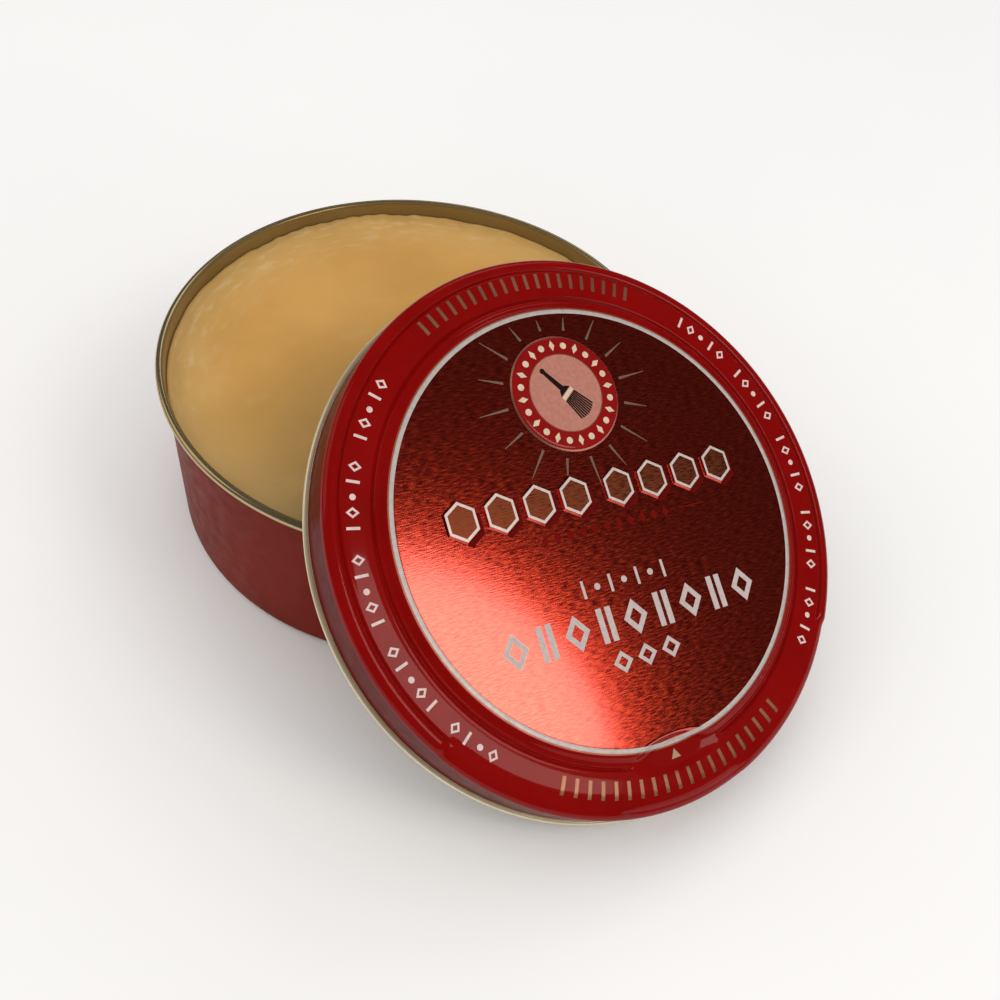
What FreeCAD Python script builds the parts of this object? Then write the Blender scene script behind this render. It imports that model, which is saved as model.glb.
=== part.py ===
import FreeCAD, Part
import math
import os

# Round press-to-open wax tin, opened: the lid leans on the can's rim and its foot stands on the table.
# Lengths in mm, +Z up. The origin is the centre of the can's underside, and the lid leans along +X.

SHEET = 0.22            # tinplate thickness of both drawn shells
DIE_REACH = 1.0         # how far a die's solid runs past the sheet it presses

# Can, a drawn one-piece cup with its mouth rolled outward
CAN_HEIGHT = 33.5
RIM_RADIUS = 46.0       # over the rolled rim
RIM_ROLL = 0.75         # radius of the rolled rim's section
CAN_CORNER = 1.6        # bottom corner radius at mid-sheet

# Wax, poured to a level under the rim
WAX_LEVEL = 30.2
WAX_GAP = 0.02          # set wax draws back this far from the wall
WAX_CREEP_WIDTH = 2.0   # band beside the wall where the wax climbs
WAX_CREEP_HEIGHT = 0.6

# Lid, a drawn shallow cap with a curled edge
LID_DEPTH = 10.0        # from the curl's lowest plane to the centre panel's top
LID_RADIUS = 47.2       # over the curl
LID_ROLL = 0.48         # radius of the curl's section, which leaves the skirt 0.24 mm clear of the rim
SHOULDER_RADIUS = 1.3   # outer shoulder, at mid-sheet
PANEL_RADIUS = 36.9     # centre panel, a little higher than the band round it
BAND_DROP = 0.7
PANEL_BEVEL = 1.4
BEVEL_RADIUS = 0.3      # of the bevel's two corners, at mid-sheet

# Pressings in the lid, placed in its own plan: press zone at -Y, emblem at +Y
INNER_GROOVE = (38.5, 39.3, 0.5)        # inner radius, outer radius, depth under the band
OUTER_GROOVE = (43.7, 44.5, 0.4)
PRESS_ZONE_HALF = 55.0                  # the outer groove stops this far each side of -Y
PRESS_PAD_HALF = 13.0                   # the inner groove stops this far each side of -Y
PAD_DISH = (35.0, 40.2, 0.35)           # thumb dish: inner radius, outer radius, depth under the band
PAD_DISH_HALF = 8.5
EMBLEM = (22.0, 10.2, 0.45)             # distance from centre, radius, rise
BLOCKS_EACH_SIDE = 4
BLOCK_PITCH = 6.85
BLOCK_GROUP_GAP = 1.6                   # added to the pitch between the two groups
BLOCK_SIZE = (5.6, 7.0, 0.45)           # width, height, rise of each raised block
BLOCK_CENTRE_Y = 5.0

# The lid's lean
LEAN_DEG = 29.8
LID_SPIN_DEG = 74.0     # turns the press zone toward the foot
REST_GAP = 0.01         # left between the lid and the rim it rests on


def unit(a, b):
    length = math.hypot(b[0] - a[0], b[1] - a[1])
    return (b[0] - a[0]) / length, (b[1] - a[1]) / length


def shifted(points, distance):
    """The open polyline moved sideways by distance, to the left of its direction."""
    moved = []
    last = len(points) - 1
    for i, (x, z) in enumerate(points):
        before = unit(points[max(i - 1, 0)], points[max(i, 1)])
        after = unit(points[min(i, last - 1)], points[min(i + 1, last)])
        nx = -before[1] - after[1]
        nz = before[0] + after[0]
        scale = distance / (1.0 + before[0] * after[0] + before[1] * after[1])
        moved.append((x + nx * scale, z + nz * scale))
    return moved


def rounded_edges(points, radii):
    """Lines and arcs along an open polyline in the XZ plane, with each inner corner rounded."""
    edges = []
    pen = points[0]
    for i in range(1, len(points) - 1):
        back = unit(points[i], points[i - 1])
        ahead = unit(points[i], points[i + 1])
        half = math.acos(back[0] * ahead[0] + back[1] * ahead[1]) / 2
        cut = radii[i - 1] / math.tan(half)
        to_centre = radii[i - 1] / math.sin(half)
        middle = unit((0, 0), (back[0] + ahead[0], back[1] + ahead[1]))
        px, pz = points[i]
        start = (px + back[0] * cut, pz + back[1] * cut)
        end = (px + ahead[0] * cut, pz + ahead[1] * cut)
        reach = to_centre - radii[i - 1]
        crown = (px + middle[0] * reach, pz + middle[1] * reach)
        add_line(edges, pen, start)
        edges.append(Part.Arc(at(start), at(crown), at(end)).toShape())
        pen = end
    add_line(edges, pen, points[-1])
    return edges


def at(point):
    return FreeCAD.Vector(point[0], 0, point[1])


def add_line(edges, a, b):
    if math.hypot(b[0] - a[0], b[1] - a[1]) > 1e-6:
        edges.append(Part.makeLine(at(a), at(b)))


def turned_sheet(points, radii):
    """A sheet of even thickness turned round Z. points are (r, z) along the middle of the sheet."""
    turns = []
    for i in range(1, len(points) - 1):
        a = unit(points[i - 1], points[i])
        b = unit(points[i], points[i + 1])
        turns.append(math.copysign(1.0, a[0] * b[1] - a[1] * b[0]))
    left = [r - turn * SHEET / 2 for r, turn in zip(radii, turns)]
    right = [r + turn * SHEET / 2 for r, turn in zip(radii, turns)]
    left_side = shifted(points, SHEET / 2)
    right_side = shifted(points, -SHEET / 2)
    edges = rounded_edges(left_side, left)
    edges += rounded_edges(right_side, right)
    add_line(edges, left_side[0], right_side[0])
    add_line(edges, left_side[-1], right_side[-1])
    wire = Part.Wire(Part.__sortEdges__(edges))
    return Part.Face(wire).revolve(FreeCAD.Vector(0, 0, 0), FreeCAD.Vector(0, 0, 1), 360)


def ring_sector(inner, outer, low, high, start_deg, sweep_deg):
    """A block with a square section turned part of the way round Z."""
    corners = [at((inner, low)), at((outer, low)), at((outer, high)), at((inner, high))]
    face = Part.Face(Part.makePolygon(corners + corners[:1]))
    axis = FreeCAD.Vector(0, 0, 1)
    face.rotate(FreeCAD.Vector(0, 0, 0), axis, start_deg)
    return face.revolve(FreeCAD.Vector(0, 0, 0), axis, sweep_deg)


def pressed(shell, die, skin):
    """The shell with material added as the skin of a pressing, and the hollow of the die taken out."""
    return shell.fuse(skin).cut(die)


def pressed_groove(shell, groove, top, gap_half_deg):
    """A groove pressed down from top, all the way round but for a gap about -Y."""
    inner, outer, depth = groove
    start = -90.0 + gap_half_deg
    sweep = 360.0 - 2 * gap_half_deg
    wall_deg = math.degrees(SHEET / inner)
    skin = ring_sector(inner - SHEET, outer + SHEET, top - depth - SHEET, top - SHEET / 2,
                       start - wall_deg, sweep + 2 * wall_deg)
    die = ring_sector(inner, outer, top - depth, top + DIE_REACH, start, sweep)
    return pressed(shell, die, skin)


def raised_prism(shell, outline, top, rise):
    """A flat-topped pressing raised over an outline of (x, y) points, hollow underneath."""
    def prism(points, low, high):
        corners = [FreeCAD.Vector(x, y, low) for x, y in points]
        return Part.Face(Part.makePolygon(corners + corners[:1])).extrude(FreeCAD.Vector(0, 0, high - low))

    hollow = shifted(outline + outline[:2], SHEET)[1:-1]
    skin = prism(outline, top - SHEET / 2, top + rise)
    die = prism(hollow, top - SHEET - DIE_REACH, top + rise - SHEET)
    return pressed(shell, die, skin)


def can_shell():
    roll = RIM_ROLL - SHEET / 2
    rim = RIM_RADIUS - SHEET / 2
    wall = rim - 2 * roll
    top = CAN_HEIGHT - SHEET / 2
    points = [
        (0, SHEET / 2),
        (wall, SHEET / 2),
        (wall, top),
        (rim, top),
        (rim, top - 2 * roll),
        (rim - roll, top - 2 * roll),
    ]
    return turned_sheet(points, [CAN_CORNER, roll, roll, roll])


def wax():
    inside = RIM_RADIUS - 2 * RIM_ROLL - WAX_GAP
    points = [
        at((0, SHEET)),
        at((inside - CAN_CORNER, SHEET)),
        at((inside, SHEET + CAN_CORNER)),
        at((inside, WAX_LEVEL + WAX_CREEP_HEIGHT)),
        at((inside - WAX_CREEP_WIDTH / 4, WAX_LEVEL + WAX_CREEP_HEIGHT / 6)),
        at((inside - WAX_CREEP_WIDTH, WAX_LEVEL)),
        at((0, WAX_LEVEL)),
    ]
    face = Part.Face(Part.makePolygon(points + points[:1]))
    return face.revolve(FreeCAD.Vector(0, 0, 0), FreeCAD.Vector(0, 0, 1), 360)


def lid_shell():
    panel = LID_DEPTH - SHEET / 2
    band = panel - BAND_DROP
    roll = LID_ROLL - SHEET / 2
    edge = LID_RADIUS - SHEET / 2
    skirt = edge - 2 * roll
    points = [
        (0, panel),
        (PANEL_RADIUS, panel),
        (PANEL_RADIUS + PANEL_BEVEL, band),
        (skirt, band),
        (skirt, SHEET / 2),
        (edge, SHEET / 2),
        (edge, SHEET / 2 + 2 * roll),
        (edge - roll, SHEET / 2 + 2 * roll),
    ]
    shell = turned_sheet(points, [BEVEL_RADIUS, BEVEL_RADIUS, SHOULDER_RADIUS, roll, roll, roll])
    band_top = LID_DEPTH - BAND_DROP
    shell = pressed_groove(shell, INNER_GROOVE, band_top, PRESS_PAD_HALF)
    shell = pressed_groove(shell, OUTER_GROOVE, band_top, PRESS_ZONE_HALF)
    shell = press_pad(shell, band_top)
    shell = emblem(shell)
    return blocks(shell).removeSplitter()


def press_pad(shell, band_top):
    """The thumb dish at the middle of the press zone, across the panel's bevel."""
    inner, outer, depth = PAD_DISH
    floor = band_top - depth
    start = -90.0 - PAD_DISH_HALF
    sweep = 2 * PAD_DISH_HALF
    wall_deg = math.degrees(SHEET / inner)
    block = ring_sector(inner - SHEET, outer + SHEET, floor - SHEET, LID_DEPTH,
                        start - wall_deg, sweep + 2 * wall_deg)
    die = ring_sector(inner, outer, floor, LID_DEPTH + DIE_REACH, start, sweep)
    return pressed(shell, die, block.common(under_top(floor - SHEET, outer + SHEET, band_top)))


def under_top(low, radius, band_top):
    """A solid from low up to the middle of the lid's sheet, out to a radius on the band."""
    below = SHEET / 2
    points = [
        at((0, low)),
        at((radius, low)),
        at((radius, band_top - below)),
        at((PANEL_RADIUS + PANEL_BEVEL, band_top - below)),
        at((PANEL_RADIUS, LID_DEPTH - below)),
        at((0, LID_DEPTH - below)),
    ]
    face = Part.Face(Part.makePolygon(points + points[:1]))
    return face.revolve(FreeCAD.Vector(0, 0, 0), FreeCAD.Vector(0, 0, 1), 360)


def emblem(shell):
    """The round raised seat of the emblem."""
    distance, radius, rise = EMBLEM
    disc = Part.makeCylinder(radius, rise + SHEET / 2, FreeCAD.Vector(0, distance, LID_DEPTH - SHEET / 2))
    die_foot = FreeCAD.Vector(0, distance, LID_DEPTH - SHEET - DIE_REACH)
    die = Part.makeCylinder(radius - SHEET, rise + DIE_REACH, die_foot)
    return pressed(shell, die, disc)


def blocks(shell):
    """A row of raised six-sided blocks in two groups across the panel."""
    width, height, rise = BLOCK_SIZE
    for side in (-1, 1):
        for i in range(BLOCKS_EACH_SIDE):
            x = side * (BLOCK_PITCH * (i + 0.5) + BLOCK_GROUP_GAP / 2)
            y = BLOCK_CENTRE_Y
            outline = [
                (x, y - height / 2),
                (x + width / 2, y - height / 4),
                (x + width / 2, y + height / 4),
                (x, y + height / 2),
                (x - width / 2, y + height / 4),
                (x - width / 2, y - height / 4),
            ]
            shell = raised_prism(shell, outline, LID_DEPTH, rise)
    return shell


def lean(shell):
    """Turns the lid and leans it so that its curl stands on the table and its panel rests on the rim."""
    tilt = math.radians(LEAN_DEG)
    rim_centre = RIM_RADIUS - RIM_ROLL
    across_lid = (rim_centre * math.sin(tilt) + (CAN_HEIGHT - RIM_ROLL) * math.cos(tilt)
                  + RIM_ROLL + REST_GAP - (LID_DEPTH - SHEET))
    height = (LID_RADIUS - LID_ROLL) * math.sin(tilt) + LID_ROLL * (1 - math.cos(tilt))
    along = (across_lid - height * math.cos(tilt)) / math.sin(tilt)
    shell.rotate(FreeCAD.Vector(0, 0, 0), FreeCAD.Vector(0, 0, 1), LID_SPIN_DEG)
    shell.rotate(FreeCAD.Vector(0, 0, 0), FreeCAD.Vector(0, 1, 0), LEAN_DEG)
    shell.translate(FreeCAD.Vector(along, 0, height))
    return shell


PARTS = {
    "can_shell": can_shell(),
    "wax_fill": wax(),
    "lid_shell": lean(lid_shell()),
}

os.makedirs("parts", exist_ok=True)
for name, shape in PARTS.items():
    shape.exportStep("parts/" + name + ".step")
    box = shape.BoundBox
    print(name, "valid", shape.isValid(), "solids", len(shape.Solids), "volume", round(shape.Volume, 1),
          "x", round(box.XMin, 2), round(box.XMax, 2), "y", round(box.YMin, 2), round(box.YMax, 2),
          "z", round(box.ZMin, 3), round(box.ZMax, 3))
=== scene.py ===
import math

import bpy
import numpy as np
from mathutils import Matrix, Vector


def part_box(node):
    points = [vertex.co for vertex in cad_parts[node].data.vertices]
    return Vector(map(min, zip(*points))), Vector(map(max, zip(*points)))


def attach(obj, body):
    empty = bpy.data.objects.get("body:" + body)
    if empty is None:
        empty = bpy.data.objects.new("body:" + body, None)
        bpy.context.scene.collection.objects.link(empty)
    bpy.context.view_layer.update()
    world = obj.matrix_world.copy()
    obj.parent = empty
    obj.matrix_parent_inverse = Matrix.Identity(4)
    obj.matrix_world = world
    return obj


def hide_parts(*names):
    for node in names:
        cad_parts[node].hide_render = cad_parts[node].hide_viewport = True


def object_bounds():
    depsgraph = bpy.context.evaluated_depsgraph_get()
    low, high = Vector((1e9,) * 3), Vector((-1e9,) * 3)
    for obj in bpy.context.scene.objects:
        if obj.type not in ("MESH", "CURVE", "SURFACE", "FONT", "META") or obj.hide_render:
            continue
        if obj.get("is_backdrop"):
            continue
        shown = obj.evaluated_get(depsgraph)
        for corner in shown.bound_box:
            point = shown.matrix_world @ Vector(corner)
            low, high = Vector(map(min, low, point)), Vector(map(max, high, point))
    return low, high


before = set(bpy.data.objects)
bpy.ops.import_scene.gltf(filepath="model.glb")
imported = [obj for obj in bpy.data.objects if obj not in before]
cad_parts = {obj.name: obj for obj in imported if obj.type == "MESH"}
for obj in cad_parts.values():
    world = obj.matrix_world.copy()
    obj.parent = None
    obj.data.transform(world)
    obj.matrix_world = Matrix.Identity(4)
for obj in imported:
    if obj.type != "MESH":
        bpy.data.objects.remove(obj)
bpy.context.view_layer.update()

# Lengths in mm until a mesh is placed. MM turns them into metres.
MM = 0.001
SHEET = 0.22

# Can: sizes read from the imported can, and the radii of its rolled rim and bottom corner
CAN_LOW, CAN_HIGH = (np.array(corner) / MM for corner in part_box("can_shell"))
WAX_LOW, WAX_HIGH = (np.array(corner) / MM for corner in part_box("wax_fill"))
RIM_RADIUS = (CAN_HIGH[0] - CAN_LOW[0]) / 2
CAN_HEIGHT = CAN_HIGH[2]
RIM_ROLL = 0.75
CAN_CORNER = 1.7
WALL_RADIUS = RIM_RADIUS - 2 * RIM_ROLL + SHEET
WAX_CREEP = 0.6                 # how far the wax climbs where it meets the wall

# Lid
LID_RADIUS = 47.2
LID_DEPTH = 10.0
LID_ROLL = 0.48
SKIRT_RADIUS = LID_RADIUS - 2 * LID_ROLL + SHEET
SHOULDER = 1.4
PANEL_EDGE = 36.95
BAND_EDGE = 38.3
BAND_TOP = LID_DEPTH - 0.7
RING = (35.95, 36.65)           # the printed silver ring
RING_LINE = 36.9                # outer radius of the fine line round it
PRESS_ZONE_HALF = 55.0          # degrees each side of -Y where the outer groove is left out
PRESS_PAD_HALF = 12.5           # degrees each side of -Y where the inner groove is left out
INNER_GROOVE = (38.9, 0.24, 0.44)           # radius, half width, depth
OUTER_GROOVE = (44.1, 0.22, 0.37)
DISH_Y = -37.9                  # the thumb dish: its centre, half length, half width and depth
DISH_HALF = (8.9, 3.1)
DISH_DROP = 0.42
EMBLEM_Y = 22.0
EMBLEM_RADIUS = 10.2
EMBLEM_RISE = 0.45
EMBLEM_LINE = 9.8               # inner radius of the emblem's outline
EMBLEM_MARKS = 8.25             # radius of its ring of dots and lozenges
EMBLEM_DISC = 6.75              # outer radius of the fine line round its disc
SEGMENTS = 576

# Print
TICKS = 20
TICK_WIDTH = 0.62
BORDER_RADIUS = 42.0
RAYS = 16
RAY_START = 11.2                # from the emblem's centre
RAY_WIDTH = (0.48, 0.1)
BLOCK_PITCH = 6.85
BLOCK_SIZE = (5.2, 6.6)
BLOCK_RISE = 0.4
BLOCK_Y = 5.0
INK = 0.025                     # how far print stands on the sheet
SINK = 0.06                     # how far its underside lies in the sheet

# Floor
FLOOR_HALF = 6000.0
FLOOR_Z = -0.02

# Camera and lights, in degrees and metres
CAMERA_TURN = (-47.6, 49.4, 8.7)            # azimuth from +X, elevation, roll
CAMERA_VIEW = 50.9                          # field of view
CAMERA_DISTANCE = 0.186
CAMERA_AIM = (0.0072, -0.0034, -0.0070)     # from the middle of the object's box
KEY_SPOT = (-41.5, -23.7)                   # where the key is mirrored, in mm on the lid's panel
KEY_DISTANCE = 0.72
KEY_SIZE = (0.28, 0.35)
KEY_WATTS = 0.98
KEY_COLOUR = (1.0, 0.90, 0.80)
FILL_OFFSET = (-0.62, -0.45, 0.52)          # from the middle of the object's box
FILL_SIZE = (0.60, 0.60)
FILL_WATTS = 1.1
FILL_COLOUR = (1.0, 0.88, 0.76)
BACK_OFFSET = (-0.42, 0.62, 0.68)
BACK_SIZE = (0.50, 0.30)
BACK_WATTS = 0.5
WORLD_SEEN = 0.84                           # strength for the eye and for soft fill
WORLD_MIRRORED = 0.02                       # strength in reflections


# ---------- meshes ----------

def smooth(low, high, x):
    """0 below low, 1 above high, and a smooth ramp between them."""
    t = np.clip((np.asarray(x, dtype=float) - low) / (high - low), 0.0, 1.0)
    return t * t * (3.0 - 2.0 * t)


def new_object(name, vertices, faces, slots, face_slots, place=Matrix.Identity(4)):
    mesh = bpy.data.meshes.new(name)
    mesh.from_pydata((np.asarray(vertices) * MM).tolist(), [], faces)
    for material in slots:
        mesh.materials.append(material)
    mesh.polygons.foreach_set("material_index", face_slots)
    mesh.polygons.foreach_set("use_smooth", [True] * len(faces))
    mesh.transform(place)
    mesh.update()
    mesh.validate()
    obj = bpy.data.objects.new(name, mesh)
    bpy.context.scene.collection.objects.link(obj)
    return obj


def turned(name, rows, slots, shape=None, segments=SEGMENTS, place=Matrix.Identity(4)):
    """A closed surface of rings. Each row is (radius, z, slot of the faces up to the next row), and the
    first and last are at radius 0. shape(radius, z, angle) may move the points of the rings between."""
    inner = rows[1:-1]
    angle = np.arange(segments) * (2 * math.pi / segments)
    radius = np.repeat([[row[0]] for row in inner], segments, axis=1).astype(float)
    height = np.repeat([[row[1]] for row in inner], segments, axis=1).astype(float)
    around = np.repeat([angle], len(inner), axis=0)
    if shape:
        radius, height = shape(radius, height, around)
    points = np.stack([radius * np.cos(around), radius * np.sin(around), height], axis=2).reshape(-1, 3)
    first = len(points)
    points = np.vstack([points, [[0, 0, rows[0][1]]], [[0, 0, rows[-1][1]]]])
    faces = []
    face_slots = []
    last_ring = (len(inner) - 1) * segments
    for j in range(segments):
        k = (j + 1) % segments
        faces.append((first, k, j))
        face_slots.append(rows[0][2])
        faces.append((last_ring + j, last_ring + k, first + 1))
        face_slots.append(rows[-2][2])
    for i in range(len(inner) - 1):
        for j in range(segments):
            k = (j + 1) % segments
            near, far = i * segments, (i + 1) * segments
            faces.append((near + j, near + k, far + k, far + j))
            face_slots.append(inner[i][2])
    return new_object(name, points, faces, slots, face_slots, place)


def arc_rows(centre, radius, start_deg, end_deg, count, slot):
    """Rows along an arc of the section, both ends included."""
    rows = []
    for degrees in np.linspace(start_deg, end_deg, count):
        t = math.radians(degrees)
        rows.append((centre[0] + radius * math.cos(t), centre[1] + radius * math.sin(t), slot))
    return rows


class Marks:
    """Thin closed plates with straight sides, laid on a surface."""

    def __init__(self):
        self.points = []
        self.faces = []
        self.slots = []

    def plate(self, outline, surface, rise, slot, sink=SINK, inset=0.0):
        """A plate with a convex outline, given anticlockwise. inset draws its top edge in to bevel it."""
        count = len(outline)
        base = len(self.points)
        middle = np.mean(outline, axis=0)
        for x, y in outline:
            self.points.append((x, y, surface(x, y) - sink))
        for x, y in outline:
            reach = math.hypot(x - middle[0], y - middle[1])
            keep = 1.0 - inset / reach
            tx = middle[0] + (x - middle[0]) * keep
            ty = middle[1] + (y - middle[1]) * keep
            self.points.append((tx, ty, surface(tx, ty) + rise))
        self.faces.append(tuple(base + count + i for i in range(count)))
        self.faces.append(tuple(base + count - 1 - i for i in range(count)))
        self.slots += [slot, slot]
        for i in range(count):
            j = (i + 1) % count
            self.faces.append((base + i, base + j, base + count + j, base + count + i))
            self.slots.append(slot)

    def frame(self, outer, inner, surface, rise, slot, sink=SINK):
        """A plate between two outlines with the same number of corners."""
        count = len(outer)
        base = len(self.points)
        for outline, up in ((outer, -sink), (outer, rise), (inner, rise), (inner, -sink)):
            for x, y in outline:
                self.points.append((x, y, surface(x, y) + up))
        for ring in range(4):
            for i in range(count):
                j = (i + 1) % count
                low = base + ring * count
                high = base + (ring + 1) % 4 * count
                self.faces.append((low + i, low + j, high + j, high + i))
                self.slots.append(slot)

    def strip(self, start, end, width, surface, rise, slot, end_width=None, sink=SINK, steps=5):
        """A straight ribbon from start to end that follows the surface on its way."""
        end_width = width if end_width is None else end_width
        base = len(self.points)
        dx, dy = end[0] - start[0], end[1] - start[1]
        length = math.hypot(dx, dy)
        for i in range(steps):
            t = i / (steps - 1)
            x, y = start[0] + dx * t, start[1] + dy * t
            half = (width + (end_width - width) * t) / 2
            ox, oy = -dy / length * half, dx / length * half
            for side, up in ((1, -sink), (1, rise), (-1, rise), (-1, -sink)):
                px, py = x + side * ox, y + side * oy
                self.points.append((px, py, surface(px, py) + up))
        for i in range(steps - 1):
            for ring in range(4):
                near, far = base + 4 * i, base + 4 * (i + 1)
                self.faces.append((near + ring, near + (ring + 1) % 4, far + (ring + 1) % 4, far + ring))
                self.slots.append(slot)
        last = base + 4 * (steps - 1)
        self.faces.append((base + 3, base + 2, base + 1, base))
        self.faces.append((last, last + 1, last + 2, last + 3))
        self.slots += [slot, slot]

    def build(self, name, materials, place):
        obj = new_object(name, self.points, self.faces, materials, self.slots, place)
        obj.data.polygons.foreach_set("use_smooth", [False] * len(obj.data.polygons))
        return obj


def bar(x, y, width, height):
    """A rectangle centred on (x, y)."""
    corners = ((-1, -1), (1, -1), (1, 1), (-1, 1))
    return [(x + px * width / 2, y + py * height / 2) for px, py in corners]


def round_outline(x, y, radius, count=24):
    steps = [2 * math.pi * i / count for i in range(count)]
    return [(x + radius * math.cos(t), y + radius * math.sin(t)) for t in steps]


def lozenge(x, y, width, height, turn=0.0):
    """A lozenge centred on (x, y), turned anticlockwise by radians."""
    cos, sin = math.cos(turn), math.sin(turn)
    corners = ((0, -height / 2), (width / 2, 0), (0, height / 2), (-width / 2, 0))
    return [(x + px * cos - py * sin, y + px * sin + py * cos) for px, py in corners]


def six_sided(x, y, width, height):
    corners = ((0, -2), (2, -1), (2, 1), (0, 2), (-2, 1), (-2, -1))
    return [(x + px * width / 4, y + py * height / 4) for px, py in corners]


def scaled(outline, factor):
    """The outline grown or shrunk about its middle."""
    middle = np.mean(outline, axis=0)
    return [(middle[0] + (x - middle[0]) * factor, middle[1] + (y - middle[1]) * factor) for x, y in outline]


def on_ring(radius, degrees):
    t = math.radians(degrees)
    return radius * math.cos(t), radius * math.sin(t)


# ---------- materials ----------

class Shader:
    """A Principled material with short ways to add the nodes that vary it."""

    def __init__(self, name, **inputs):
        self.material = bpy.data.materials.new(name)
        self.material.use_nodes = True
        self.tree = self.material.node_tree
        self.main = self.tree.nodes["Principled BSDF"]
        for key, value in inputs.items():
            self.main.inputs[key.replace("_", " ")].default_value = value

    def node(self, kind, **settings):
        made = self.tree.nodes.new(kind)
        for key, value in settings.items():
            setattr(made, key, value)
        return made

    def link(self, out, into):
        self.tree.links.new(out, into)

    def noise(self, scale, stretch=(1, 1, 1), detail=4.0, place=Matrix.Identity(4), vector=None):
        """Noise in features per metre, stretched along the axes of place. vector replaces the position."""
        vector = vector or self.node("ShaderNodeTexCoord").outputs["Object"]
        local = self.node("ShaderNodeMapping", vector_type="TEXTURE")
        local.inputs["Location"].default_value = place.translation
        local.inputs["Rotation"].default_value = place.to_euler()
        mapping = self.node("ShaderNodeMapping")
        mapping.inputs["Scale"].default_value = stretch
        texture = self.node("ShaderNodeTexNoise")
        texture.inputs["Scale"].default_value = scale
        texture.inputs["Detail"].default_value = detail
        self.link(vector, local.inputs["Vector"])
        self.link(local.outputs["Vector"], mapping.inputs["Vector"])
        self.link(mapping.outputs["Vector"], texture.inputs["Vector"])
        return texture.outputs["Fac"]

    def spread(self, value, low, high, start=0.3, end=0.7):
        """value between start and end, mapped to low and high."""
        remap = self.node("ShaderNodeMapRange")
        for key, number in zip(("From Min", "From Max", "To Min", "To Max"), (start, end, low, high)):
            remap.inputs[key].default_value = number
        self.link(value, remap.inputs["Value"])
        return remap.outputs["Result"]

    def scaled(self, value, factor):
        product = self.node("ShaderNodeMath", operation="MULTIPLY")
        self.link(value, product.inputs[0])
        if isinstance(factor, float):
            product.inputs[1].default_value = factor
        else:
            self.link(factor, product.inputs[1])
        return product.outputs["Value"]

    def blend(self, factor, first, second):
        mix = self.node("ShaderNodeMix", data_type="RGBA")
        for socket, colour in ((mix.inputs[6], first), (mix.inputs[7], second)):
            if isinstance(colour, tuple):
                socket.default_value = (*colour, 1.0)
            else:
                self.link(colour, socket)
        self.link(factor, mix.inputs[0])
        return mix.outputs[2]

    def drive(self, name, value):
        self.link(value, self.main.inputs[name])

    def bump(self, value, distance, strength=1.0, on_coat=False):
        node = self.node("ShaderNodeBump")
        node.inputs["Distance"].default_value = distance
        node.inputs["Strength"].default_value = strength
        self.link(value, node.inputs["Height"])
        self.link(node.outputs["Normal"], self.main.inputs["Normal"])
        if on_coat:
            self.link(node.outputs["Normal"], self.main.inputs["Coat Normal"])


def lacquer(name, colour, dark, roughness, coat, shine=0.3):
    """Glossy colour lacquer over tin, with faint mottle and orange peel."""
    shader = Shader(name, Coat_Weight=coat, Coat_Roughness=0.06, Specular_IOR_Level=shine)
    mottle = shader.noise(90.0, detail=3.0)
    shader.drive("Base Color", shader.blend(shader.spread(mottle, 0, 1), dark, colour))
    shader.drive("Roughness", shader.spread(shader.noise(400.0), roughness * 0.85, roughness * 1.2))
    shader.bump(shader.noise(900.0, detail=2.0), 0.00001, 0.4)
    return shader.material


def gold_lacquer(name, colour, dark, roughness, metal=1.0):
    """Gold lacquer on bare tin, with drifting tone. A thick coat of it shows less of the metal."""
    shader = Shader(name, Metallic=metal)
    drift = shader.noise(60.0, detail=5.0)
    shader.drive("Base Color", shader.blend(shader.spread(drift, 0, 1), dark, colour))
    shader.drive("Roughness", shader.spread(shader.noise(300.0), roughness * 0.88, roughness * 1.15))
    return shader.material


def brushed(name, colour, dark, roughness, place, grain=1.0, coat=0.0, metal=1.0):
    """Transparent colour over brushed tin, streaked along X of place. grain scales the streaks' bump."""
    shader = Shader(name, Metallic=metal, Coat_Weight=coat, Coat_IOR=1.65, Coat_Roughness=0.09)
    streaks = shader.noise(5000.0, stretch=(0.14, 1.0, 1.0), detail=2.0, place=place)
    shader.drive("Base Color", shader.blend(shader.spread(streaks, 0, 1, 0.38, 0.62), dark, colour))
    shader.drive("Roughness", shader.spread(streaks, roughness * 0.65, roughness * 1.45))
    shader.bump(streaks, 0.000005, grain, coat > 0.0)
    return shader.material


def ink(name, colour, roughness=0.45, metallic=0.0, shine=0.2):
    """Print, a little uneven where it took to the sheet."""
    shader = Shader(name, Metallic=metallic, Specular_IOR_Level=shine)
    wear = shader.noise(1500.0, detail=3.0)
    worn = tuple(0.82 * c for c in colour)
    shader.drive("Base Color", shader.blend(shader.spread(wear, 0, 1), worn, colour))
    shader.drive("Roughness", shader.spread(shader.noise(600.0), roughness * 0.85, roughness * 1.15))
    return shader.material


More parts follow.
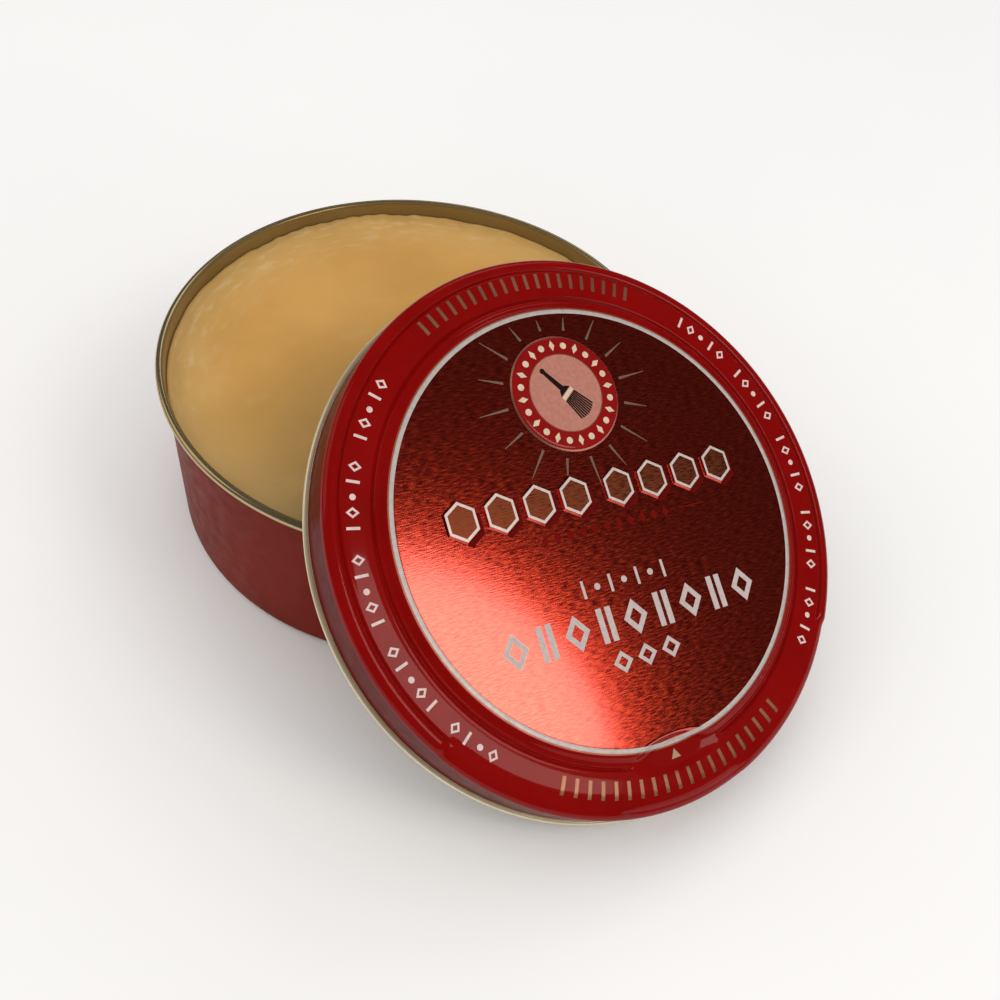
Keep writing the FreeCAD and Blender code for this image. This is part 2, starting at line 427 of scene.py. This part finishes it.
def wax_material():
    """Amber wax: cloudy, turning darker olive toward +X as painted shade from the lid, paler by the wall,
    with soft smears along the -X edge.
    """
    shader = Shader("wax", Subsurface_Weight=0.12, Subsurface_Scale=0.004)
    shader.main.inputs["Subsurface Radius"].default_value = (1.0, 0.5, 0.15)
    place = shader.node("ShaderNodeTexCoord")
    split = shader.node("ShaderNodeSeparateXYZ")
    reach = shader.node("ShaderNodeVectorMath", operation="LENGTH")
    around = shader.node("ShaderNodeMath", operation="ARCTAN2")
    polar = shader.node("ShaderNodeCombineXYZ")
    shader.link(place.outputs["Object"], split.inputs["Vector"])
    shader.link(place.outputs["Object"], reach.inputs[0])
    shader.link(split.outputs["Y"], around.inputs[0])
    shader.link(split.outputs["X"], around.inputs[1])
    shader.link(around.outputs["Value"], polar.inputs["X"])
    shader.link(reach.outputs["Value"], polar.inputs["Y"])
    smear = shader.noise(1.0, stretch=(9.0, 900.0, 1.0), detail=6.0, vector=polar.outputs["Vector"])
    far_side = shader.spread(split.outputs["X"], 1, 0, -0.030, -0.004)
    wall_side = shader.spread(reach.outputs["Value"], 0, 1, 0.0440, 0.0520)
    cloud = shader.spread(shader.noise(38.0, detail=4.0), 0, 1)
    tone = shader.blend(cloud, (0.56, 0.285, 0.052), (0.66, 0.355, 0.078))
    # painted shade: the wax darkens to olive toward +X, where the lid shades it
    tone = shader.blend(shader.spread(split.outputs["X"], 0, 1, -0.015, 0.035), tone, (0.30, 0.19, 0.045))
    tone = shader.blend(shader.scaled(wall_side, 0.35), tone, (0.58, 0.40, 0.15))
    streaks = shader.spread(smear, 0, 0.45, 0.52, 0.74)
    smeared = shader.scaled(shader.scaled(streaks, wall_side), far_side)
    tone = shader.blend(smeared, tone, (0.76, 0.62, 0.38))
    flecks = shader.spread(shader.noise(170.0, stretch=(1.0, 0.45, 1.0), detail=8.0), 0, 0.18, 0.58, 0.74)
    shader.drive("Base Color", shader.blend(flecks, tone, (0.74, 0.52, 0.25)))
    shader.drive("Roughness", shader.spread(shader.noise(150.0), 0.42, 0.62))
    shader.bump(shader.noise(420.0, detail=5.0), 0.00006, 0.5)
    return shader.material


# ---------- can and wax ----------

def build_can():
    red, gold, bare, rim = range(4)
    roll_centre = (RIM_RADIUS - RIM_ROLL, CAN_HEIGHT - RIM_ROLL)
    inside = WALL_RADIUS - SHEET
    inner_corner = 1.4
    rows = [(0.0, 0.0, bare)]
    rows += [(r, 0.0, bare) for r in np.linspace(6, WALL_RADIUS - CAN_CORNER - 0.1, 9)]
    rows += arc_rows((WALL_RADIUS - CAN_CORNER, CAN_CORNER), CAN_CORNER, -90, 0, 10, red)
    rows += [(WALL_RADIUS, z, red) for z in np.linspace(3, CAN_HEIGHT - 2 * RIM_ROLL - 0.25, 12)]
    rows += [(WALL_RADIUS, CAN_HEIGHT - 2 * RIM_ROLL - 0.02, rim)]
    rows += arc_rows(roll_centre, RIM_ROLL, -110, 110, 20, rim)
    rows += arc_rows(roll_centre, RIM_ROLL, 120, 170, 5, gold)
    rows += [(inside, z, gold) for z in np.linspace(CAN_HEIGHT - 1.2, 1.6, 14)]
    rows += arc_rows((inside - inner_corner, SHEET + inner_corner), inner_corner, 0, -90, 6, gold)
    rows += [(20.0, SHEET, gold), (0.0, SHEET, gold)]
    rows = [(float(r), float(z), s) for r, z, s in rows]
    slots = [
        lacquer("can red lacquer", (0.185, 0.0145, 0.005), (0.150, 0.010, 0.0035), 0.45, 0.0, 0.07),
        gold_lacquer("can gold lacquer", (0.31, 0.220, 0.085), (0.25, 0.170, 0.060), 0.22, 0.45),
        gold_lacquer("can underside tin", (0.55, 0.50, 0.40), (0.44, 0.39, 0.29), 0.38),
        # the rim's gold is glossier than the wall's and reflects the lamps; its lighter colour is painted
        # highlight along the roll
        gold_lacquer("can gold rim painted highlight", (0.52, 0.41, 0.23), (0.42, 0.32, 0.16), 0.15, 0.85),
    ]
    can = turned("can", rows, slots, segments=384)
    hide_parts("can_shell")
    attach(can, "can")


def wax_swell(radius, height, around):
    """The set surface: slow waves, small dents and a ragged edge at the wall, roughest near 165 degrees."""
    x = radius * np.cos(around)
    y = radius * np.sin(around)
    top = height > WAX_HIGH[2] - 1.5
    waves = 0.05 * np.sin(x * 0.17 + 0.6) * np.cos(y * 0.13) + 0.025 * np.sin(x * 0.51 + y * 0.37)
    dents = 0.03 * np.sin(x * 1.9 + 2.0 * np.sin(y * 0.6)) * np.sin(y * 1.7 + 1.3 * np.sin(x * 0.5))
    torn = np.exp(-((np.cos(around - math.radians(165)) - 1.0) / 0.12) ** 2)
    ragged = 0.14 * np.sin(7 * around + 1.0) + 0.09 * np.sin(19 * around) + 0.05 * np.sin(43 * around + 2.0)
    ragged = ragged + torn * (0.25 + 0.22 * np.sin(61 * around) * np.sin(23 * around + 0.7))
    edge = smooth(WAX_HIGH[0] - 4.0, WAX_HIGH[0] - 1.2, radius)
    lift = (waves + dents) * (1 - edge) + ragged * edge - 0.15
    return radius, height + np.where(top, lift, 0.0)


def build_wax():
    side = WAX_HIGH[0]
    foot = WAX_LOW[2]
    level = WAX_HIGH[2] - WAX_CREEP
    rows = [(0.0, foot, 0), (30.0, foot, 0), (side - CAN_CORNER, foot, 0), (side, foot + CAN_CORNER, 0)]
    rows += [(side, 10.0, 0), (side, 20.0, 0), (side, level - 1.2, 0)]
    rows += [(side - 0.02, level + 0.25, 0), (side - 0.25, level + 0.38, 0), (side - 0.7, level + 0.22, 0)]
    rows += [(r, level + 0.12 * smooth(side - 4, side - 1, r), 0) for r in np.arange(side - 1.1, 0.4, -0.55)]
    rows += [(0.0, level, 0)]
    rows = [(float(r), float(z), s) for r, z, s in rows]
    wax = turned("wax", rows, [wax_material()], wax_swell, segments=360)
    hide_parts("wax_fill")
    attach(wax, "can")


# ---------- lid ----------

def lid_place():
    """The lid's own frame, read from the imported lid: origin in the curl's lowest plane, Z out of the panel,
    +Y toward the emblem."""
    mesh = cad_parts["lid_shell"].data
    points = np.array([vertex.co for vertex in mesh.vertices])
    flat = max(mesh.polygons, key=lambda polygon: polygon.area)
    out = Vector(flat.normal)
    if out.z < 0:
        out.negate()
    heights = points @ np.array(out)
    curl = points[heights < heights.min() + 0.002]
    raised = points[heights > heights.max() - 0.0001].mean(axis=0)
    across = Vector((0, 0, 1)).cross(out).normalized()
    down = across.cross(out)
    middle = Vector((0, 0, 0))
    for axis in (across, down):
        reach = curl @ np.array(axis)
        middle += axis * (reach.min() + reach.max()) / 2
    middle += out * heights.min()
    up = Vector(raised) - middle
    up = (up - out * up.dot(out)).normalized()
    side = up.cross(out)
    return Matrix.Translation(middle) @ Matrix((side, up, out)).transposed().to_4x4()


def from_press(around):
    """Degrees from -Y, 0 to 180."""
    turn = np.degrees(around) + 90.0
    return np.abs((turn + 180.0) % 360.0 - 180.0)


def lid_top(radius, around):
    """Height of the lid's pressed top over the curl's lowest plane."""
    angle = from_press(around)
    x = radius * np.cos(around)
    y = radius * np.sin(around)
    z = LID_DEPTH - (LID_DEPTH - BAND_TOP) * smooth(PANEL_EDGE, BAND_EDGE, radius)
    z = z + 0.05 * np.exp(-((radius - 36.3) / 0.25) ** 2)
    z = z + 0.06 * smooth(39.4, 40.6, radius) * (1 - smooth(42.6, 43.7, radius))
    at, half, depth = INNER_GROOVE
    inner = np.exp(-((radius - at) / half) ** 2)
    z = z - depth * inner * smooth(PRESS_PAD_HALF - 0.3, PRESS_PAD_HALF + 1.7, angle)
    away = smooth(PRESS_ZONE_HALF - 1.0, PRESS_ZONE_HALF + 1.0, angle)
    at, half, depth = OUTER_GROOVE
    outer = np.exp(-((radius - at) / half) ** 2)
    z = z - depth * outer * away
    z = z + 0.10 * smooth(44.3, 44.9, radius) * away
    z = z - 0.45 * smooth(42.6, 46.3, radius) * (1 - away)
    dish = 1 - (x / DISH_HALF[0]) ** 2 - ((y - DISH_Y) / DISH_HALF[1]) ** 2
    z = z + (BAND_TOP - DISH_DROP - z) * smooth(0.0, 0.75, dish)
    flattened = smooth(0.0, 0.7, 1 - ((angle - 4.0) / 13.0) ** 2)
    return z - 0.50 * flattened * smooth(44.0, 46.2, radius)


def surface(x, y):
    return float(lid_top(math.hypot(x, y), math.atan2(y, x)))


def ring_rows(start, end, step, slot):
    """Rows from radius start toward end, about step apart. Their height is set later."""
    count = max(1, round(abs(end - start) / step))
    return [(start + (end - start) * i / count, 0.0, slot) for i in range(count)]


def lid_rows():
    """The section's rows from the inside of the top, round the curl, to the top's centre, closest where the
    sheet is pressed. Also how many come before the inside shoulder, and how many before the flat outside."""
    red, panel, silver, gold, inside, line, skirt = range(7)
    flat = SKIRT_RADIUS - SHOULDER
    rows = [(0.0, LID_DEPTH - SHEET, inside)]
    rows += ring_rows(8.0, 34.0, 7.0, inside)
    rows += ring_rows(34.0, 40.6, 0.32, inside)
    rows += ring_rows(40.6, 43.2, 0.9, inside)
    rows += ring_rows(43.2, flat, 0.26, inside)
    under = len(rows)
    shoulder = (flat, BAND_TOP - SHOULDER)
    skirt_low = 2 * LID_ROLL
    rows += arc_rows(shoulder, SHOULDER - SHEET, 80, 0, 6, inside)
    rows += [(SKIRT_RADIUS - SHEET, z, inside) for z in np.linspace(shoulder[1] - 1.2, skirt_low + 0.8, 3)]
    rows += [(SKIRT_RADIUS - SHEET, LID_ROLL + 0.3, gold)]
    rows += arc_rows((LID_RADIUS - LID_ROLL, LID_ROLL), LID_ROLL, 190, 480, 26, gold)
    rows += [(SKIRT_RADIUS, z, skirt) for z in np.linspace(skirt_low + 0.02, shoulder[1] - 0.5, 5)]
    rows += arc_rows(shoulder, SHOULDER, 0, 80, 9, red)
    over = len(rows)
    rows += ring_rows(flat, 43.2, 0.11, red)
    rows += ring_rows(43.2, 40.4, 0.4, red)
    rows += ring_rows(40.4, RING_LINE, 0.14, red)
    rows += ring_rows(RING_LINE, RING[1], 0.1, line)
    rows += ring_rows(RING[1], RING[0], 0.13, silver)
    rows += ring_rows(RING[0], 34.3, 0.15, panel)
    rows += ring_rows(34.3, 32.3, 0.7, panel)
    rows += ring_rows(32.3, 2.3, 6.0, panel)
    rows += [(0.0, LID_DEPTH, panel)]
    return [(float(r), float(z), s) for r, z, s in rows], under, over


def build_lid(place):
    rows, under, over = lid_rows()

    def pressed(radius, height, around):
        """The flat rows take the pressed height, and the shoulder moves with the sheet beside it."""
        height = height.copy()
        below = under - 1
        above = over - 1
        height[:below] = lid_top(radius[:below], around[:below]) - SHEET
        height[above:] = lid_top(radius[above:], around[above:])
        dip = lid_top(np.full(radius.shape[1], SKIRT_RADIUS - SHOULDER * 0.5), around[0]) - BAND_TOP
        share = smooth(BAND_TOP - 3.3, BAND_TOP, height[below:above])
        height[below:above] += share * dip
        return radius, height

    slots = [
        lacquer("lid red lacquer", (0.235, 0.002, 0.0015), (0.200, 0.0015, 0.001), 0.25, 0.30, 0.03),
        brushed(
            "lid brushed red", (0.80, 0.066, 0.024), (0.50, 0.014, 0.005), 0.15, place, coat=1.0, metal=0.95
        ),
        ink("lid silver ring", (0.58, 0.53, 0.50), 0.35, 0.25),
        # the curl is the inside gold made lighter and less metallic: partly painted highlight along the curl,
        # partly real gold
        gold_lacquer("lid gold curl painted highlight", (0.84, 0.73, 0.52), (0.68, 0.56, 0.36), 0.20, 0.5),
        gold_lacquer("lid gold inside", (0.56, 0.42, 0.20), (0.44, 0.32, 0.14), 0.32),
        ink("lid ring line", (0.40, 0.13, 0.08), 0.3, 0.4),
        # the lid's red lacquer at about half brightness: painted shade on the skirt under the shoulder
        lacquer("lid skirt red painted shade", (0.120, 0.002, 0.0015), (0.095, 0.0015, 0.001), 0.35, 0.12, 0.03),
    ]
    lid = turned("lid", rows, slots, pressed, place=place)
    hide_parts("lid_shell")
    return lid


def emblem_height(x, y):
    """The emblem's domed seat."""
    reach = math.hypot(x, y - EMBLEM_Y)
    edge = 1.0 - float(smooth(EMBLEM_RADIUS - 0.7, EMBLEM_RADIUS, reach))
    return LID_DEPTH - 0.1 + (EMBLEM_RISE * 0.8 + 0.1) * edge + 0.12 * (1 - (reach / EMBLEM_RADIUS) ** 2)


def build_emblem(place):
    line, ring, disc = range(3)
    rows = [(0.0, LID_DEPTH - 0.12, ring), (EMBLEM_RADIUS, LID_DEPTH - 0.12, line)]
    radii = (EMBLEM_RADIUS, 10.05, 9.9, 9.75, 9.6, 9.2, 8.5, 7.6, EMBLEM_DISC, 6.6, 5.0, 3.0, 1.5)
    for radius in radii:
        slot = disc
        if radius > EMBLEM_LINE or radius == EMBLEM_DISC:
            slot = line
        elif radius > EMBLEM_DISC:
            slot = ring
        rows.append((radius, emblem_height(radius, EMBLEM_Y), slot))
    rows.append((0.0, emblem_height(0.0, EMBLEM_Y), disc))
    slots = [
        ink("emblem line", (0.68, 0.29, 0.22), 0.3, 0.8),
        lacquer("emblem red", (0.27, 0.003, 0.002), (0.22, 0.002, 0.0015), 0.28, 0.5, 0.1),
        ink("emblem pink", (0.50, 0.200, 0.150)),
    ]
    centred = place @ Matrix.Translation((0, EMBLEM_Y * MM, 0))
    return turned("lid_emblem", rows, slots, segments=128, place=centred)


def emblem_marks(marks, cream, dark):
    """Dots and lozenges round the red ring and, on the disc, a plain brush with its bristles down."""
    for i in range(24):
        x, y = on_ring(EMBLEM_MARKS, 15 * i)
        if i % 2:
            shape = round_outline(x, y + EMBLEM_Y, 0.58, 14)
        else:
            shape = lozenge(x, y + EMBLEM_Y, 1.0, 1.9, math.radians(15 * i - 90))
        marks.plate(shape, emblem_height, INK, cream)
    lean = math.radians(-52)

    def spot(along, across):
        x = along * math.cos(lean) - across * math.sin(lean)
        return x, along * math.sin(lean) + across * math.cos(lean) + EMBLEM_Y

    def stroke(start, end, width, end_width, slot=dark):
        marks.strip(spot(*start), spot(*end), width, emblem_height, INK, slot, end_width, steps=7)

    stroke((-5.4, 0), (-0.9, 0), 0.65, 1.0)
    marks.plate(round_outline(*spot(-5.3, 0), 0.48, 16), emblem_height, INK * 0.9, dark)
    stroke((-1.0, 0), (-0.2, 0), 1.4, 2.6)
    stroke((-0.05, 0), (0.65, 0), 2.8, 2.8, cream)
    for i in range(9):
        across = (i - 4) * 0.31
        stroke((0.78, across), (5.1 - 0.03 * (i - 4) ** 2, across * 1.45), 0.26, 0.31)


def rays(marks, slot):
    """Thin rays round the emblem, widest beside it. Those toward the silver ring stop short of it."""
    for i in range(RAYS):
        t = math.radians(360 / RAYS * i + 5.0)
        rise = EMBLEM_Y * math.sin(t)
        to_ring = -rise + math.sqrt(rise ** 2 + (RING[0] - 0.8) ** 2 - EMBLEM_Y ** 2)
        far = min(15.6 if i % 2 else 16.6, to_ring)
        start = (RAY_START * math.cos(t), EMBLEM_Y + RAY_START * math.sin(t))
        end = (far * math.cos(t), EMBLEM_Y + far * math.sin(t))
        marks.strip(start, end, RAY_WIDTH[0], surface, INK, slot, end_width=RAY_WIDTH[1])


def ticks(marks, centre_deg, half_deg, inner, outer, slot):
    """A fan of short bars on the band, from radius inner to outer."""
    for i in range(TICKS):
        degrees = centre_deg - half_deg + 2 * half_deg * i / (TICKS - 1)
        start, end = on_ring(inner, degrees), on_ring(outer, degrees)
        marks.strip(start, end, TICK_WIDTH, surface, INK, slot, steps=10)


def arc_ornament(marks, start_deg, end_deg, slot):
    """A running border of slim lozenges, bars and dots on the band."""
    step = 3.15
    count = int((end_deg - start_deg) / step)
    for i in range(count + 1):
        degrees = start_deg + (end_deg - start_deg) * i / count
        x, y = on_ring(BORDER_RADIUS, degrees)
        turn = math.radians(degrees)
        if i % 6 == 5:
            continue
        if i % 3 == 0:
            marks.frame(lozenge(x, y, 2.1, 1.7, turn), lozenge(x, y, 1.1, 0.85, turn), surface, INK, slot)
        elif i % 3 == 1:
            start, end = on_ring(BORDER_RADIUS - 1.0, degrees), on_ring(BORDER_RADIUS + 1.1, degrees)
            marks.strip(start, end, 0.45, surface, INK, slot)
        else:
            marks.plate(round_outline(x, y, 0.5, 12), surface, INK, slot)


def rows_of_ornament(marks, light, dark_red):
    """Three rows of plain shapes under the blocks, and a dark row of lozenges between dashes above them."""
    for side in (-1, 1):
        marks.plate(bar(side * 17.2, -0.9, 4.8, 0.22), surface, INK, dark_red)
    for i in range(11):
        marks.plate(lozenge((i - 5) * 2.35, -0.9, 1.3, 1.9), surface, INK, dark_red)
    for i in range(7):
        x = (i - 3) * 2.6
        if i % 2:
            marks.plate(round_outline(x, -9.8, 0.55, 16), surface, INK, light)
        else:
            marks.plate(bar(x, -9.8, 0.5, 2.9), surface, INK, light)
    for i in range(9):
        x = (i - 4) * 5.55
        if i % 2:
            marks.plate(bar(x - 0.85, -16.0, 1.05, 5.6), surface, INK, light)
            marks.plate(bar(x + 0.85, -16.0, 1.05, 5.6), surface, INK, light)
        else:
            marks.frame(lozenge(x, -16.0, 4.6, 5.8), lozenge(x, -16.0, 2.3, 2.9), surface, INK, light)
    for i in range(3):
        x = (i - 1) * 4.7
        marks.frame(lozenge(x, -22.2, 3.7, 3.6), lozenge(x, -22.2, 1.9, 1.85), surface, INK, light)


def blocks(marks, shadow, body, silver, brown):
    """The raised blocks: a printed shadow, a pressed body, a silver outline and a brown face."""
    def raised(x, y):
        return LID_DEPTH + BLOCK_RISE

    for side in (-1, 1):
        for i in range(4):
            x = side * (BLOCK_PITCH * (i + 0.5) + 0.8)
            outline = six_sided(x, BLOCK_Y, *BLOCK_SIZE)
            marks.plate(six_sided(x + 0.75, BLOCK_Y - 0.85, *BLOCK_SIZE), surface, INK, shadow)
            marks.plate(scaled(outline, 1.1), surface, BLOCK_RISE, body, inset=0.32)
            marks.frame(scaled(outline, 0.98), scaled(outline, 0.82), raised, INK, silver, sink=0.05)
            marks.plate(scaled(outline, 0.80), raised, INK * 0.5, brown, sink=0.05)


def build_print(place):
    cream, dark, tick_gold, white, light, dark_red, shadow, body, silver, brown, beige, ray_grey = range(12)
    materials = [
        ink("print cream", (0.70, 0.55, 0.40)),
        ink("print dark", (0.014, 0.007, 0.006), shine=0.08),
        gold_lacquer("bare tick metal", (0.46, 0.22, 0.13), (0.26, 0.11, 0.06), 0.30, 0.6),
        ink("print white", (0.74, 0.58, 0.54)),
        ink("print light grey", (0.56, 0.47, 0.45)),
        ink("print dark red", (0.17, 0.003, 0.0015), shine=0.03),
        ink("print shadow red", (0.13, 0.002, 0.001), shine=0.03),
        brushed("block sides", (0.80, 0.10, 0.06), (0.60, 0.06, 0.04), 0.22, place, 0.1, 0.5),
        ink("block silver outline", (0.78, 0.68, 0.63), 0.3, 0.3),
        brushed("block brown face", (0.36, 0.10, 0.045), (0.24, 0.055, 0.025), 0.36, place, 0.4),
        ink("print beige", (0.42, 0.27, 0.17)),
        ink("print ray grey", (0.22, 0.14, 0.10), 0.35, 0.3),
    ]
    marks = Marks()
    emblem_marks(marks, cream, dark)
    rays(marks, ray_grey)
    ticks(marks, 92.0, 28.0, 40.9, 43.5, tick_gold)
    ticks(marks, -90.0, 29.5, 40.7, 43.5, tick_gold)
    arc_ornament(marks, 137.0, 224.0, white)
    arc_ornament(marks, -42.0, 48.0, white)
    rows_of_ornament(marks, light, dark_red)
    blocks(marks, shadow, body, silver, brown)
    marks.plate([(-0.9, -38.9), (0.9, -38.9), (0.0, -37.4)], surface, INK, beige)
    return marks.build("lid_print", materials, place)


# ---------- stage ----------

def build_stage():
    shader = Shader("floor paper", Roughness=0.75)
    tone = shader.spread(shader.noise(6.0, detail=3.0), 0, 1)
    shader.drive("Base Color", shader.blend(tone, (0.92, 0.92, 0.92), (0.95, 0.95, 0.945)))
    corners = [(x, y, FLOOR_Z) for x, y in bar(0, 0, 2 * FLOOR_HALF, 2 * FLOOR_HALF)]
    floor = new_object("floor", corners, [(0, 1, 2, 3)], [shader.material], [0])
    floor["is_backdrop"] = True


def area_light(name, place, aim, size, watts, shape="RECTANGLE", colour=(1.0, 1.0, 1.0)):
    data = bpy.data.lights.new(name, "AREA")
    data.shape = shape
    data.size, data.size_y = size
    data.energy = watts
    data.color = colour
    lamp = bpy.data.objects.new(name, data)
    lamp.location = place
    lamp.rotation_euler = (aim - place).to_track_quat("-Z", "Y").to_euler()
    bpy.context.scene.collection.objects.link(lamp)


def build_lights(lid, camera):
    """The key hangs where the camera sees it mirrored in the panel, low on the left. Two others fill in."""
    low, high = (Vector(corner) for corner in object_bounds())
    middle = (low + high) / 2
    spot = lid @ Vector((KEY_SPOT[0] * MM, KEY_SPOT[1] * MM, LID_DEPTH * MM))
    out = (lid.to_3x3() @ Vector((0, 0, 1))).normalized()
    view = (camera.location - spot).normalized()
    ray = 2 * view.dot(out) * out - view
    area_light("key", spot + ray * KEY_DISTANCE, spot, KEY_SIZE, KEY_WATTS, "ELLIPSE", KEY_COLOUR)
    area_light("fill", middle + Vector(FILL_OFFSET), middle, FILL_SIZE, FILL_WATTS, colour=FILL_COLOUR)
    area_light("back", middle + Vector(BACK_OFFSET), middle, BACK_SIZE, BACK_WATTS)


def build_world():
    """Pale for the eye and for soft fill, dimmer in reflections so that the lacquer keeps its depth."""
    world = bpy.data.worlds.new("studio")
    bpy.context.scene.world = world
    world.use_nodes = True
    tree = world.node_tree
    background = tree.nodes["Background"]
    path = tree.nodes.new("ShaderNodeLightPath")
    dim = tree.nodes.new("ShaderNodeMapRange")
    dim.inputs["To Min"].default_value = WORLD_SEEN
    dim.inputs["To Max"].default_value = WORLD_MIRRORED
    tree.links.new(path.outputs["Is Glossy Ray"], dim.inputs["Value"])
    tree.links.new(dim.outputs["Result"], background.inputs["Strength"])
    background.inputs["Color"].default_value = (1.0, 1.0, 1.0, 1.0)


def build_camera():
    """A close camera above the lid's side of the tin, rolled a little."""
    low, high = (Vector(corner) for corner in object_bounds())
    azimuth, elevation, roll = (math.radians(degrees) for degrees in CAMERA_TURN)
    flat = math.cos(elevation)
    back = Vector((flat * math.cos(azimuth), flat * math.sin(azimuth), math.sin(elevation)))
    data = bpy.data.cameras.new("camera")
    data.angle = math.radians(CAMERA_VIEW)
    data.clip_start = 0.01
    camera = bpy.data.objects.new("camera", data)
    aim = (low + high) / 2 + Vector(CAMERA_AIM)
    level = back.to_track_quat("Z", "Y").to_matrix().to_4x4()
    spot = Matrix.Translation(aim + back * CAMERA_DISTANCE)
    camera.matrix_world = spot @ level @ Matrix.Rotation(roll, 4, "Z")
    bpy.context.scene.collection.objects.link(camera)
    bpy.context.scene.camera = camera
    return camera


place = lid_place()
camera = build_camera()
build_lights(place, camera)
build_world()
build_stage()
build_can()
build_wax()
for piece in (build_lid(place), build_emblem(place), build_print(place)):
    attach(piece, "lid")
bpy.context.scene.view_settings.view_transform = "Standard"
